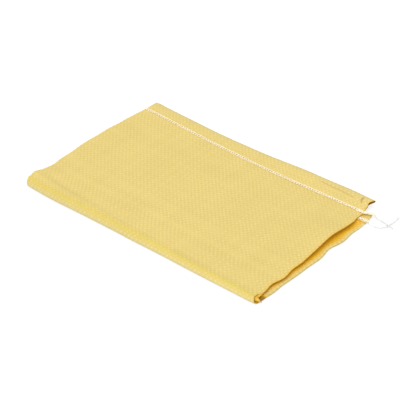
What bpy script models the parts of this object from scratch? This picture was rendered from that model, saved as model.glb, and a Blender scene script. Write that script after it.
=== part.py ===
"""Rubble sack: a woven plastic tube, sewn shut at one end and hemmed at its mouth.

It lies flat on a level floor, folded in half across its length. The upper half carries the sewn
bottom end, turned under along +Y. The fold runs along -Y, and the mouth lies beneath the sewn end.

Lengths are metres. +X runs along the sewn end, +Y away from the fold, +Z up. The origin is at the
middle of the cloth's box, on the floor.
"""
import math

import bmesh
import bpy
from mathutils import Vector

# The sack and its cloth
SACK_WIDTH = 0.600
FOLDED_DEPTH = 0.404
CLOTH = 0.0003
LAYER_PITCH = 0.0008
BOX_CENTRE = (-0.0005, -0.0040)

# The folded packet's two ends, and how much further out the fold lies at its fatter left part
FOLD_Y = -FOLDED_DEPTH / 2
HEM_Y = FOLDED_DEPTH / 2
MOUTH_Y = HEM_Y - 0.031
FOLD_BULGE = 0.0082
FOLD_BULGE_ENDS = (-0.75, 0.85)

# The bottom end: turned under once and sewn through, a little askew
HEM_SEAM_IN_LEFT = 0.0358
HEM_SEAM_IN_RIGHT = 0.0435
HEM_SEAM_TURNS_AT = 0.3
SEAM_BOW = 0.0035
SEAM_BOW_AT = 0.30
SEAM_BOW_REACH = 0.40
SEAM_HOOK = 0.0024
SEAM_HOOK_FROM = 0.82
HEM_RAW_IN = 0.054
HEM_LOOP_RADIUS = 0.0026
HEM_LOOP_DEPTH = 0.030

# The mouth: each wall is turned outward into a cuff, sewn all round
CUFF_DEPTH = 0.034
MOUTH_SEAM_IN = 0.025
CUFF_RAMP = 0.030
CUFF_MARGIN = 0.002

# The seams' thread
THREAD = 0.0013
CLEARANCE = 0.0004
TAIL = 0.0018

# Height of the upper half above the floor
PLATEAU = 0.0105
HEM_HEIGHT = 0.0088
HEM_FLAT = 0.055
HEM_LIFT_LEFT = 0.0055
HEM_LIFT_LEFT_REACH = 0.150
HEM_LIFT_LEFT_DEPTH = 0.060
HEM_CURL = 0.0090
HEM_CURL_FROM_X = -0.020
HEM_CURL_TO_X = 0.270
HEM_CURL_DEPTH = 0.033
SEAM_DIP_RIGHT = 0.0030
SEAM_DIP_IN = 0.046
SEAM_DIP_REACH = 0.030
EDGE_LIFT_LEFT = 0.0062
ROLL_LIFT_LEFT = 0.0040
EDGE_LIFT_RIGHT = 0.0045
EDGE_REACH = 0.050

# Where the side edges of the upper half arch and wander most, in from the fold, and how far along
LEFT_ARCH_IN = 0.231
LEFT_ARCH_REACH = 0.125
RIGHT_ARCH_IN = 0.241
RIGHT_ARCH_REACH = 0.095
ROLL_LIFT_IN = 0.062
ROLL_LIFT_REACH = 0.030

# The rolled fold: its height and width at each end, and the half depth of its front
ROLL_HEIGHT_LEFT = 0.0205
ROLL_HEIGHT_RIGHT = 0.0110
ROLL_WIDTH_LEFT = 0.056
ROLL_WIDTH_RIGHT = 0.023
ROLL_TAPER = 0.190
ROLL_IN = 0.0105
ROLL_FULL_SHARE = 0.42
ROLL_FOOT_SHARE = 1.1

# Spare room between the tube's two walls, in its plain parts and inside the roll's open end
UPPER_SPARE = 0.0009
LOWER_SPARE = 0.0012
ROLL_SPARE = 0.0007
ROLL_END_SPARE = 0.0030
ROLL_END_REACH = 0.030

# How far each side edge wanders from the sack's straight flat edge
LOWER_SHIFT = 0.0112
LOWER_SHIFT_OVER = 0.250
LOWER_RETURN = 0.0050
LOWER_RETURN_FROM = 0.330
LOWER_RETURN_TO = 0.385
LOWER_MOUTH_SHIFT = 0.0025
LOWER_MOUTH_IN = 0.350
LOWER_MOUTH_REACH = 0.040
UPPER_SHIFT_LEFT = -0.0085
UPPER_OFFSET_LEFT = -0.0060
UPPER_SHIFT_RIGHT = -0.0072
HEM_END_NIP = -0.0070
HEM_END_NIP_FROM = 0.028
HEM_END_NIP_TO = 0.044
ROLL_LEFT_SHIFT = -0.0040
ROLL_LEFT_FROM = 0.020
ROLL_LEFT_TO = 0.050
ROLL_RIGHT_SHIFT = -0.0055
ROLL_RIGHT_FROM = 0.050
ROLL_RIGHT_TO = 0.150
CORNER_SHIFT = -0.0045
CORNER_FROM = 0.008
CORNER_TO = 0.040
UNDERSIDE_SHIFT = -0.0055
UNDERSIDE_TO = 0.150

# Cells of the cloth's grid: across one wall, round one side edge, and along the sack.
# The upper half's cells are eased this far towards close ones at both its ends.
UPPER_EASE = 0.75
ACROSS_CELLS = 18
EDGE_CELLS = 3
STAGE_CELLS = {
    "flap": 4,
    "hem turn": 6,
    "upper half": 22,
    "roll": 8,
    "lower half": 14,
    "mouth turn": 4,
    "cuff": 5,
}

# Routes of the two loose thread ends, from the seams' right ends
HEM_TAIL_ROUTE = [
    (0.2998, 0.1655, 0.0096),
    (0.3023, 0.1687, 0.0090),
    (0.3076, 0.1710, 0.0085),
    (0.3127, 0.1730, 0.0077),
    (0.3176, 0.1725, 0.0063),
    (0.3235, 0.1708, 0.0042),
    (0.3287, 0.1710, 0.0023),
    (0.3344, 0.1713, 0.0013),
    (0.3410, 0.1704, 0.0012),
    (0.3484, 0.1682, 0.0020),
    (0.3558, 0.1651, 0.0035),
    (0.3617, 0.1646, 0.0027),
    (0.3673, 0.1651, 0.0011),
]
MOUTH_TAIL_ROUTE = [
    (0.3166, 0.1510, 0.0020),
    (0.3194, 0.1480, 0.0014),
    (0.3245, 0.1458, 0.0011),
    (0.3309, 0.1454, 0.0011),
    (0.3371, 0.1471, 0.0011),
    (0.3439, 0.1497, 0.0011),
    (0.3495, 0.1536, 0.0011),
    (0.3529, 0.1600, 0.0011),
    (0.3543, 0.1681, 0.0011),
    (0.3554, 0.1761, 0.0011),
    (0.3561, 0.1837, 0.0011),
    (0.3562, 0.1918, 0.0011),
    (0.3557, 0.1985, 0.0011),
    (0.3542, 0.2052, 0.0011),
]

YELLOW_CLOTH = (0.80, 0.60, 0.22)
WHITE_THREAD = (0.88, 0.86, 0.80)

OUTER = 1
INNER = 0


def mix(start, end, share):
    return start + (end - start) * share


def smooth(value, start, end):
    """Rise gently from 0 at start to 1 at end."""
    share = min(max((value - start) / (end - start), 0.0), 1.0)
    return share * share * (3.0 - 2.0 * share)


def mound(value, centre, reach):
    """A rounded hill of height 1 at centre."""
    return math.exp(-((value - centre) / reach) ** 2)


def fold_line(across):
    """Y of the folded edge. across runs from -1 at the sack's left edge to 1 at its right."""
    return FOLD_Y - FOLD_BULGE * (1.0 - smooth(across, *FOLD_BULGE_ENDS))


def seam_line(across):
    """Y of the bottom seam, which bows a little away from the hem."""
    askew = smooth(across, -1.0, HEM_SEAM_TURNS_AT)
    bow = SEAM_BOW * mound(across, SEAM_BOW_AT, SEAM_BOW_REACH)
    hook = SEAM_HOOK * smooth(across, SEAM_HOOK_FROM, 1.0)
    return HEM_Y - mix(HEM_SEAM_IN_LEFT, HEM_SEAM_IN_RIGHT, askew) - bow + hook


def roll_width(across):
    """The roll is widest at its left end."""
    from_left = (1.0 + across) * SACK_WIDTH / 2
    return mix(ROLL_WIDTH_RIGHT, ROLL_WIDTH_LEFT, math.exp(-from_left / ROLL_TAPER))


def hem_lift(across, in_from_hem):
    """The hem lies low at its middle. Its right part curls up past the seam."""
    left_edge = (1.0 + across) * SACK_WIDTH / 2
    x = across * SACK_WIDTH / 2
    left = HEM_LIFT_LEFT * mound(left_edge, 0.0, HEM_LIFT_LEFT_REACH)
    curl = HEM_CURL * smooth(x, HEM_CURL_FROM_X, HEM_CURL_TO_X)
    left *= mound(in_from_hem, 0.0, HEM_LIFT_LEFT_DEPTH)
    return left + curl * mound(in_from_hem, 0.0, HEM_CURL_DEPTH)


def top_height(across, y):
    """Height of the outer wall of the upper half above the floor."""
    in_from_fold = y - fold_line(across)
    in_from_hem = HEM_Y - y
    left_edge = (1.0 + across) * SACK_WIDTH / 2
    right_edge = (1.0 - across) * SACK_WIDTH / 2
    height = mix(HEM_HEIGHT, PLATEAU, smooth(in_from_hem, HEM_FLAT, 3 * HEM_FLAT))
    height += hem_lift(across, in_from_hem)
    # The side edges arch between the hem and the roll, and the left one again beside the roll
    left_arch = EDGE_LIFT_LEFT * mound(in_from_fold, LEFT_ARCH_IN, LEFT_ARCH_REACH)
    left_arch += ROLL_LIFT_LEFT * mound(in_from_fold, ROLL_LIFT_IN, ROLL_LIFT_REACH)
    height += left_arch * mound(left_edge, 0.0, EDGE_REACH)
    right_arch = mound(in_from_fold, RIGHT_ARCH_IN, RIGHT_ARCH_REACH)
    height += EDGE_LIFT_RIGHT * right_arch * mound(right_edge, 0.0, EDGE_REACH)
    right_dip = mound(in_from_hem, SEAM_DIP_IN, SEAM_DIP_REACH)
    height -= SEAM_DIP_RIGHT * right_dip * mound(right_edge, 0.0, EDGE_REACH)
    width = roll_width(across)
    roll_height = mix(ROLL_HEIGHT_LEFT, ROLL_HEIGHT_RIGHT, (1.0 + across) / 2)
    behind = smooth(in_from_fold, ROLL_FULL_SHARE * width, ROLL_FOOT_SHARE * width)
    return mix(roll_height, height, behind)


def upper_gap(y):
    """Distance between the middles of the two walls of the upper half."""
    plain = smooth(HEM_Y - y, HEM_RAW_IN, 2 * HEM_RAW_IN)
    return LAYER_PITCH + UPPER_SPARE * plain


def lower_gap(y):
    """The same for the lower half. The mouth's sewn cuff presses the walls together."""
    plain = 1.0 - smooth(y, MOUTH_Y - CUFF_DEPTH - 2 * CUFF_RAMP, MOUTH_Y - CUFF_DEPTH)
    return LAYER_PITCH + LOWER_SPARE * plain


def lower_height(y):
    """Height of the lower half's outer wall: on the floor, then over its own cuff and thread."""
    over_cuff = THREAD + CLEARANCE + LAYER_PITCH
    ramp_end = MOUTH_Y - CUFF_DEPTH - CUFF_MARGIN
    return CLOTH / 2 + over_cuff * smooth(y, ramp_end - CUFF_RAMP, ramp_end)


def side_edges(y, lower_share):
    """X of the cloth's left and right edges; lower_share is 0 in the upper half, 1 in the lower."""
    in_from_fold = y - FOLD_Y
    upper_left = UPPER_OFFSET_LEFT
    upper_left += UPPER_SHIFT_LEFT * mound(in_from_fold, LEFT_ARCH_IN, LEFT_ARCH_REACH)
    upper_left += ROLL_LEFT_SHIFT * (1.0 - smooth(in_from_fold, ROLL_LEFT_FROM, ROLL_LEFT_TO))
    upper_right = UPPER_SHIFT_RIGHT * mound(in_from_fold, RIGHT_ARCH_IN, RIGHT_ARCH_REACH)
    upper_right += ROLL_RIGHT_SHIFT * (1.0 - smooth(in_from_fold, ROLL_RIGHT_FROM, ROLL_RIGHT_TO))
    upper_right += CORNER_SHIFT * (1.0 - smooth(in_from_fold, CORNER_FROM, CORNER_TO))
    upper_right += HEM_END_NIP * (1.0 - smooth(HEM_Y - y, HEM_END_NIP_FROM, HEM_END_NIP_TO))
    lower_right = LOWER_SHIFT * smooth(in_from_fold, 0.0, LOWER_SHIFT_OVER)
    lower_right -= LOWER_RETURN * smooth(in_from_fold, LOWER_RETURN_FROM, LOWER_RETURN_TO)
    lower_right += LOWER_MOUTH_SHIFT * mound(in_from_fold, LOWER_MOUTH_IN, LOWER_MOUTH_REACH)
    lower_left = lower_right + UNDERSIDE_SHIFT * (1.0 - smooth(in_from_fold, 0.0, UNDERSIDE_TO))
    left = mix(upper_left, lower_left, lower_share)
    right = mix(upper_right, lower_right, lower_share)
    return left - SACK_WIDTH / 2, right + SACK_WIDTH / 2


def flap(share, across, wall):
    """The turned-under end, from its raw edge to the hem's fold."""
    y = mix(HEM_Y - HEM_RAW_IN, HEM_Y - HEM_LOOP_RADIUS, share)
    pressed = 3 * LAYER_PITCH
    depth = mix(2 * HEM_LOOP_RADIUS, pressed, smooth(HEM_Y - y, HEM_LOOP_RADIUS, HEM_LOOP_DEPTH))
    under = LAYER_PITCH if wall == INNER else 0.0
    return y, top_height(across, y) - depth + under, 0.0


def hem_turn(share, across, wall):
    """The hem's fold, which stays a little open."""
    y = HEM_Y - HEM_LOOP_RADIUS
    radius = HEM_LOOP_RADIUS - (LAYER_PITCH if wall == INNER else 0.0)
    angle = math.pi * (share - 0.5)
    centre = top_height(across, y) - HEM_LOOP_RADIUS
    return y + radius * math.cos(angle), centre + radius * math.sin(angle), 0.0


def upper_half(share, across, wall):
    """From the hem's fold to the top of the roll, with closer cells towards both."""
    eased = (1.0 - math.cos(math.pi * share)) / 2
    share = mix(share, eased, UPPER_EASE)
    y = mix(HEM_Y - HEM_LOOP_RADIUS, fold_line(across) + ROLL_IN, share)
    drop = upper_gap(y) if wall == INNER else 0.0
    return y, top_height(across, y) - drop, 0.0


def roll(share, across, wall):
    """The rolled fold across the sack's length, from its top round to the floor."""
    y = fold_line(across) + ROLL_IN
    top = top_height(across, y)
    bottom = CLOTH / 2
    reach = ROLL_IN - CLOTH / 2
    if wall == INNER:
        top -= upper_gap(y)
        bottom += lower_gap(y)
        right_edge = (1.0 - across) * SACK_WIDTH / 2
        left_edge = (1.0 + across) * SACK_WIDTH / 2
        open_end = mound(right_edge, 0.0, ROLL_END_REACH) + mound(left_edge, 0.0, ROLL_END_REACH)
        reach -= LAYER_PITCH + ROLL_SPARE + ROLL_END_SPARE * open_end
    angle = math.pi * share
    middle = (top + bottom) / 2
    half = (top - bottom) / 2
    return y - reach * math.sin(angle), middle + half * math.cos(angle), smooth(share, 0.0, 1.0)


def lower_half(share, across, wall):
    """From the foot of the roll to the mouth."""
    y = mix(fold_line(across) + ROLL_IN, MOUTH_Y - LAYER_PITCH / 2, share)
    rise = lower_gap(y) if wall == INNER else 0.0
    return y, lower_height(y) + rise, 1.0


def mouth_turn(share, across, wall):
    """Each wall turns outward at the mouth: the outer one down, the inner one up."""
    radius = LAYER_PITCH / 2
    y = MOUTH_Y - radius
    angle = math.pi * share
    start = lower_height(y) + (LAYER_PITCH if wall == INNER else 0.0)
    outward = 1.0 if wall == INNER else -1.0
    turned = radius * (1.0 - math.cos(angle))
    return y + radius * math.sin(angle), start + outward * turned, 1.0


def cuff(share, across, wall):
    """The turned-out cuff, back from the mouth to its raw edge."""
    y = mix(MOUTH_Y - LAYER_PITCH / 2, MOUTH_Y - CUFF_DEPTH, share)
    height = lower_height(MOUTH_Y)
    if wall == INNER:
        return y, height + 2 * LAYER_PITCH, 1.0
    return y, height - LAYER_PITCH, 1.0


STAGES = {
    "flap": flap,
    "hem turn": hem_turn,
    "upper half": upper_half,
    "roll": roll,
    "lower half": lower_half,
    "mouth turn": mouth_turn,
    "cuff": cuff,
}


def across_at(column):
    """Columns lie closer together towards the side edges."""
    return math.sin(math.pi / 2 * (2 * column / ACROSS_CELLS - 1))


def wall_point(stage, share, across, wall):
    """Place in the folded sack of a point on one wall of the tube."""
    y, z, lower_share = STAGES[stage](share, across, wall)
    left, right = side_edges(y, lower_share)
    x = mix(left, right, (1.0 + across) / 2)
    return Vector((x - BOX_CENTRE[0], y - BOX_CENTRE[1], z))


def ring_points(stage, share):
    """One ring round the tube: outer wall, right edge, inner wall, left edge, and its start."""
    columns = range(ACROSS_CELLS + 1)
    outer = [wall_point(stage, share, across_at(column), OUTER) for column in columns]
    inner = [wall_point(stage, share, across_at(column), INNER) for column in columns]
    points = outer + edge_arc(outer[-1], inner[-1], 1.0) + inner[::-1]
    return points + edge_arc(inner[0], outer[0], -1.0) + [outer[0]]


def edge_arc(start, end, side):
    """Points between the two walls on the half-round side edge, which bulges to +X or -X."""
    middle = (start + end) / 2
    arm = start - middle
    points = []
    for step in range(1, EDGE_CELLS):
        angle = math.pi * step / EDGE_CELLS
        bulge = Vector((side * arm.length * math.sin(angle), 0.0, 0.0))
        points.append(middle + arm * math.cos(angle) + bulge)
    return points


def all_rings():
    """Every ring of the tube, from the flap's raw edge to the cuff's."""
    rings = [ring_points("flap", 0.0)]
    for stage, cells in STAGE_CELLS.items():
        for cell in range(1, cells + 1):
            rings.append(ring_points(stage, cell / cells))
    return rings


def make_material(name, colour, roughness):
    material = bpy.data.materials.new(name)
    material.use_nodes = True
    shader = material.node_tree.nodes["Principled BSDF"]
    shader.inputs["Base Color"].default_value = (*colour, 1.0)
    shader.inputs["Roughness"].default_value = roughness
    shader.inputs["Metallic"].default_value = 0.0
    return material


def make_cloth(collection, material):
    """A flat grid, folded into the tube, welded along its length and thickened."""
    rings = all_rings()
    round_cells = len(rings[0]) - 1
    mesh_data = bmesh.new()
    bmesh.ops.create_grid(mesh_data, x_segments=round_cells, y_segments=len(rings) - 1, size=0.5)
    mesh_data.verts.ensure_lookup_table()
    row_length = round_cells + 1
    for row, ring in enumerate(rings):
        for column, point in enumerate(ring):
            mesh_data.verts[row * row_length + column].co = point
    bmesh.ops.remove_doubles(mesh_data, verts=mesh_data.verts, dist=CLOTH / 30)
    bmesh.ops.recalc_face_normals(mesh_data, faces=mesh_data.faces)
    mesh = bpy.data.meshes.new("sack_cloth")
    mesh_data.to_mesh(mesh)
    mesh_data.free()
    mesh.materials.append(material)
    cloth = bpy.data.objects.new("sack_cloth", mesh)
    collection.objects.link(cloth)
    thickness = cloth.modifiers.new("Cloth thickness", "SOLIDIFY")
    thickness.thickness = CLOTH
    thickness.offset = 0.0
    return cloth


def make_cord(name, points, diameter, closed, collection, material):
    """A round cord through the given points."""
    curve = bpy.data.curves.new(name, "CURVE")
    curve.dimensions = "3D"
    curve.bevel_depth = diameter / 2
    curve.bevel_resolution = 2
    curve.use_fill_caps = True
    spline = curve.splines.new("POLY")
    spline.points.add(len(points) - 1)
    for spline_point, point in zip(spline.points, points):
        spline_point.co = (*point, 1.0)
    spline.use_cyclic_u = closed
    curve.materials.append(material)
    cord = bpy.data.objects.new(name, curve)
    collection.objects.link(cord)
    return cord


def hem_seam_points():
    """The bottom seam lies on the upper half, from side edge to side edge."""
    above = CLOTH / 2 + CLEARANCE + THREAD / 2
    points = []
    for column in range(ACROSS_CELLS + 1):
        across = across_at(column)
        y = seam_line(across)
        left, right = side_edges(y, 0.0)
        x = mix(left, right, (1.0 + across) / 2)
        points.append((x - BOX_CENTRE[0], y - BOX_CENTRE[1], top_height(across, y) + above))
    return points


def mouth_seam_points():
    """The mouth's seam is a ring round the outside of the cuffs."""
    share = (MOUTH_SEAM_IN - LAYER_PITCH / 2) / (CUFF_DEPTH - LAYER_PITCH / 2)
    columns = [across_at(column) for column in range(ACROSS_CELLS + 1)]
    away = Vector((0.0, 0.0, CLOTH / 2 + CLEARANCE + THREAD / 2))
    lowered = [wall_point("cuff", share, across, OUTER) - away for across in columns]
    raised = [wall_point("cuff", share, across, INNER) + away for across in columns]
    points = lowered + edge_arc(lowered[-1], raised[-1], 1.0)
    return points + raised[::-1] + edge_arc(raised[0], lowered[0], -1.0)


def spline_point(before, start, end, after, share):
    """A point on the Catmull-Rom curve between start and end."""
    square = share * share
    cube = square * share
    return 0.5 * (
        2 * start
        + (end - before) * share
        + (2 * before - 5 * start + 4 * end - after) * square
        + (3 * start - before - 3 * end + after) * cube
    )


def smooth_route(route, spacing):
    """Points read at even steps from a smooth curve through the route's own points."""
    knots = [Vector(point) for point in route]
    knots = [2 * knots[0] - knots[1]] + knots + [2 * knots[-1] - knots[-2]]
    fine = []
    fine_steps = 20
    for index in range(1, len(knots) - 2):
        for step in range(fine_steps):
            fine.append(spline_point(*knots[index - 1:index + 3], step / fine_steps))
    fine.append(knots[-2])
    length = sum((end - start).length for start, end in zip(fine, fine[1:]))
    pieces = max(2, round(length / spacing))
    points = [fine[0]]
    walked = 0.0
    for start, end in zip(fine, fine[1:]):
        walked += (end - start).length
        if walked >= length * len(points) / pieces - 1e-9:
            points.append(end)
    return points


def remove_everything():
    for item in list(bpy.data.objects):
        bpy.data.objects.remove(item, do_unlink=True)


def main():
    remove_everything()
    collection = bpy.data.collections.new("rubble_sack")
    bpy.context.scene.collection.children.link(collection)
    cloth_material = make_material("yellow_woven_cloth", YELLOW_CLOTH, 0.55)
    thread_material = make_material("white_thread", WHITE_THREAD, 0.80)
    make_cloth(collection, cloth_material)
    make_cord("hem_seam_thread", hem_seam_points(), THREAD, False, collection, thread_material)
    make_cord("mouth_seam_thread", mouth_seam_points(), THREAD, True, collection, thread_material)
    hem_tail = smooth_route(HEM_TAIL_ROUTE, 2.5 * TAIL)
    mouth_tail = smooth_route(MOUTH_TAIL_ROUTE, 2.5 * TAIL)
    make_cord("hem_seam_tail", hem_tail, TAIL, False, collection, thread_material)
    make_cord("mouth_seam_tail", mouth_tail, TAIL, False, collection, thread_material)


main()
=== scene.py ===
# %% [markdown]
# A rubble sack, folded in half
#
# This lesson dresses a rubble sack: a tube of woven yellow plastic tape, sewn shut at one end,
# hemmed at its mouth and folded flat. Each piece made here stands for one of its solids.

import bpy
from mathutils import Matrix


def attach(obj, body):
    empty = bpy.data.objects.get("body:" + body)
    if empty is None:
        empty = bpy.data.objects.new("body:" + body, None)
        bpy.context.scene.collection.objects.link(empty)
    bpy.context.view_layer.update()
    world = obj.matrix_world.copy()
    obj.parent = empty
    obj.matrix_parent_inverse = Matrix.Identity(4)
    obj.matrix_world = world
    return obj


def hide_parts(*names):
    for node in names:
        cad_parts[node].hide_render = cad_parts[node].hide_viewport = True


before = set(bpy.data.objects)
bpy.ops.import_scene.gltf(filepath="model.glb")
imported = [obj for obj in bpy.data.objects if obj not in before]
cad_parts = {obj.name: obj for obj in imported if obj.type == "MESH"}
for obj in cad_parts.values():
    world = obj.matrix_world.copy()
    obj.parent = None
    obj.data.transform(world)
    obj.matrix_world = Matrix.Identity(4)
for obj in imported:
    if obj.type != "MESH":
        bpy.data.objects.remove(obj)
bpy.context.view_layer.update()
print("construction solids:", sorted(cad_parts))

# %% The modules this lesson uses
import math

import bmesh
import bpy
from mathutils import Euler, Vector, noise

# %% [markdown]
# The camera
#
# The picture looks down on the sack from its front right with a long lens, which keeps opposite
# edges almost parallel. A camera could be placed by eye, but here it is aimed. Unturned, it looks
# straight down. One turn tips it up, one swings it round, and it backs off from its target.

# %% Place the camera
CAMERA_AZIMUTH = math.radians(40.04)
CAMERA_ELEVATION = math.radians(35.85)
CAMERA_DISTANCE = 2.657
CAMERA_TARGET = Vector((0.00485, -0.00807, 0.0))
CAMERA_LENS = 115.0


def new_object(name, data):
    """Make an object of this data and put it in the scene."""
    item = bpy.data.objects.new(name, data)
    bpy.context.scene.collection.objects.link(item)
    return item


camera = new_object("studio_camera", bpy.data.cameras.new("studio_camera"))
camera.data.lens = CAMERA_LENS
camera.rotation_euler = Euler((math.pi / 2 - CAMERA_ELEVATION, 0.0, CAMERA_AZIMUTH))
camera.location = Vector((0.0, 0.0, CAMERA_DISTANCE))
camera.location.rotate(camera.rotation_euler)
camera.location += CAMERA_TARGET
bpy.context.scene.camera = camera
print("camera at", [round(value, 3) for value in camera.location])

# %% [markdown]
# Node helpers
#
# A material and a geometry tree are both graphs of nodes. They could be wired by hand in the editor.
# In a script, small helpers keep the wiring short: one adds a node and feeds its sockets with plain
# values or with other nodes' outputs, and the others do sums, ranges and mixed colours.

# %% Add nodes and feed their sockets


def feed(tree, socket, value):
    """Link another node's output to the socket, or set its plain value."""
    if isinstance(value, bpy.types.NodeSocket):
        tree.links.new(value, socket)
    else:
        socket.default_value = value


def add_node(tree, kind, feeds=None, **settings):
    """Add a node with its settings. feeds gives values for sockets, by their name or number."""
    node = tree.nodes.new(kind)
    for name, value in settings.items():
        setattr(node, name, value)
    for key, value in (feeds or {}).items():
        feed(tree, node.inputs[key], value)
    return node


def calculate(tree, operation, *values):
    """One step of arithmetic on numbers."""
    return add_node(tree, "ShaderNodeMath", dict(enumerate(values)), operation=operation).outputs["Value"]


def product(tree, first, *others):
    """Two or more numbers, multiplied."""
    for other in others:
        first = calculate(tree, "MULTIPLY", first, other)
    return first


def combine(tree, operation, *vectors, result="Vector"):
    """One step of arithmetic on vectors."""
    node = add_node(tree, "ShaderNodeVectorMath", dict(enumerate(vectors)), operation=operation)
    return node.outputs[result]


def scale_vector(tree, vector, amount):
    node = add_node(tree, "ShaderNodeVectorMath", {"Vector": vector, "Scale": amount}, operation="SCALE")
    return node.outputs["Vector"]


def scale_range(tree, value, from_low=0.0, from_high=1.0, to_low=0.0, to_high=1.0):
    """Map one range of numbers to another and hold it at the ends."""
    feeds = dict(enumerate((value, from_low, from_high, to_low, to_high)))
    return add_node(tree, "ShaderNodeMapRange", feeds).outputs["Result"]


def mix_colours(tree, factor, first, second, blend_type="MIX"):
    """Blend two colours. The Mix node also has sockets for numbers: 6, 7 and 2 are the colours."""
    feeds = {0: factor, 6: first, 7: second}
    return add_node(tree, "ShaderNodeMix", feeds, data_type="RGBA", blend_type=blend_type).outputs[2]


def new_material(name):
    material = bpy.data.materials.new(name)
    material.use_nodes = True
    tree = material.node_tree
    return material, tree, tree.nodes["Principled BSDF"]


def add_relief(tree, shader, height, distance, strength):
    """Shade the surface as if it stood out by the height times the distance."""
    feeds = {"Height": height, "Distance": distance, "Strength": strength}
    feed(tree, shader.inputs["Normal"], add_node(tree, "ShaderNodeBump", feeds).outputs["Normal"])


# %% [markdown]
# White seam thread
#
# Bag seams are sewn with a soft spun thread, matt and a little cream. Where it lies slack its
# fibres part and shade one another, so the loose ends get a greyer copy of the thread's colours:
# that grey is painted shade. A fibre could be modelled, but it is finer than a pixel, so a noise in
# the colour and a fine bump are enough. Object coordinates suit it, because the thread is too thin
# for a pattern to stretch along it.

# %% Thread materials
SEWN_THREAD = ((0.93, 0.84, 0.66, 1.0), (0.80, 0.70, 0.53, 1.0))
# The slack ends have the sewn thread's colours, painted greyer as shade
SHADED_SLACK_THREAD = ((0.80, 0.79, 0.78, 1.0), (0.70, 0.69, 0.68, 1.0))
THREAD_ROUGHNESS = 0.85
FIBRE_SCALE = 1400.0
FIBRE_DETAIL = 3.0
FIBRE_TONES = (0.35, 0.7)
FIBRE_RELIEF = 0.0002
FIBRE_RELIEF_STRENGTH = 0.5


def thread_material(name, light, shaded):
    material, tree, shader = new_material(name)
    feeds = {
        "Vector": add_node(tree, "ShaderNodeTexCoord").outputs["Object"],
        "Scale": FIBRE_SCALE,
        "Detail": FIBRE_DETAIL,
    }
    fibres = add_node(tree, "ShaderNodeTexNoise", feeds).outputs[0]
    shade = scale_range(tree, fibres, *FIBRE_TONES)
    feed(tree, shader.inputs["Base Color"], mix_colours(tree, shade, light, shaded))
    feed(tree, shader.inputs["Roughness"], THREAD_ROUGHNESS)
    add_relief(tree, shader, fibres, FIBRE_RELIEF, FIBRE_RELIEF_STRENGTH)
    return material


SEWN_MATERIAL = thread_material("sewn_white_thread", *SEWN_THREAD)
SHADED_SLACK_MATERIAL = thread_material("slack_thread_painted_shade", *SHADED_SLACK_THREAD)
print("made", SEWN_MATERIAL.name, "and", SHADED_SLACK_MATERIAL.name)

# %% [markdown]
# From a tree of Geometry Nodes to a plain mesh
#
# Whatever repeats or follows a path is made with Geometry Nodes: a tree with named sizes, fed with a
# bare path. Its result could stay a live modifier, but an exported model would lose its instances.
# So each tree makes them real, and the result is kept as a plain mesh. A dictionary holds a tree's
# sizes, and the kind of each value gives the kind of its socket.

# %% Begin, end and apply a tree
SOCKET_KINDS = {int: "Int", float: "Float", bpy.types.Material: "Material"}


def begin_tree(name, sizes):
    """A new tree, with an input for the path and one for each named size."""
    tree = bpy.data.node_groups.new(name, "GeometryNodeTree")
    tree.interface.new_socket("Path", in_out="INPUT", socket_type="NodeSocketGeometry")
    for label, size in sizes.items():
        kind = "NodeSocket" + SOCKET_KINDS[type(size)]
        tree.interface.new_socket(label, in_out="INPUT", socket_type=kind)
    tree.interface.new_socket("Mesh", in_out="OUTPUT", socket_type="NodeSocketGeometry")
    given = add_node(tree, "NodeGroupInput").outputs
    return tree, given, add_node(tree, "GeometryNodeMeshToCurve", {"Mesh": given["Path"]}).outputs["Curve"]


def round_tube(tree, curve, thickness, sides, closed):
    """A round tube along a curve. closed fills its two ends."""
    feeds = {"Resolution": sides, "Radius": product(tree, thickness, 0.5)}
    outline = add_node(tree, "GeometryNodeCurvePrimitiveCircle", feeds).outputs["Curve"]
    feeds = {"Curve": curve, "Profile Curve": outline, "Fill Caps": closed}
    return add_node(tree, "GeometryNodeCurveToMesh", feeds).outputs["Mesh"]


def end_tree(tree, geometry, material):
    """Make instances real, give them their material and hand the mesh out."""
    real = add_node(tree, "GeometryNodeRealizeInstances", {"Geometry": geometry}).outputs["Geometry"]
    finish = add_node(tree, "GeometryNodeSetMaterial", {"Geometry": real, "Material": material})
    add_node(tree, "NodeGroupOutput", {"Mesh": finish.outputs["Geometry"]})
    print("tree", tree.name, "has", len(tree.nodes), "nodes")
    return tree


def apply_tree(name, paths, tree, sizes):
    """Run a tree on one or more paths of points, and keep what it makes as a plain mesh object."""
    points = []
    edges = []
    for path in paths:
        edges += [(len(points) + step, len(points) + step + 1) for step in range(len(path) - 1)]
        points += path
    bare = bpy.data.meshes.new(name + "_path")
    bare.from_pydata(points, edges, [])
    piece = new_object(name, bare)
    modifier = piece.modifiers.new(tree.name, "NODES")
    modifier.node_group = tree
    for item in tree.interface.items_tree:
        if item.in_out == "INPUT" and item.name in sizes:
            modifier[item.identifier] = sizes[item.name]
    evaluated = piece.evaluated_get(bpy.context.evaluated_depsgraph_get())
    mesh = bpy.data.meshes.new_from_object(evaluated)
    mesh.name = name
    piece.modifiers.remove(modifier)
    piece.data = mesh
    bpy.data.meshes.remove(bare)
    print(name, "has", len(mesh.polygons), "faces")
    return piece


# %% [markdown]
# Loose thread ends
#
# The machine sews on past the sack's edge, so each seam ends in a few centimetres of loose thread
# that lies where it falls. A cord could be simulated, but these are short and limp, so a smooth
# curve through the construction model's points says the same. They are in metres.

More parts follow.
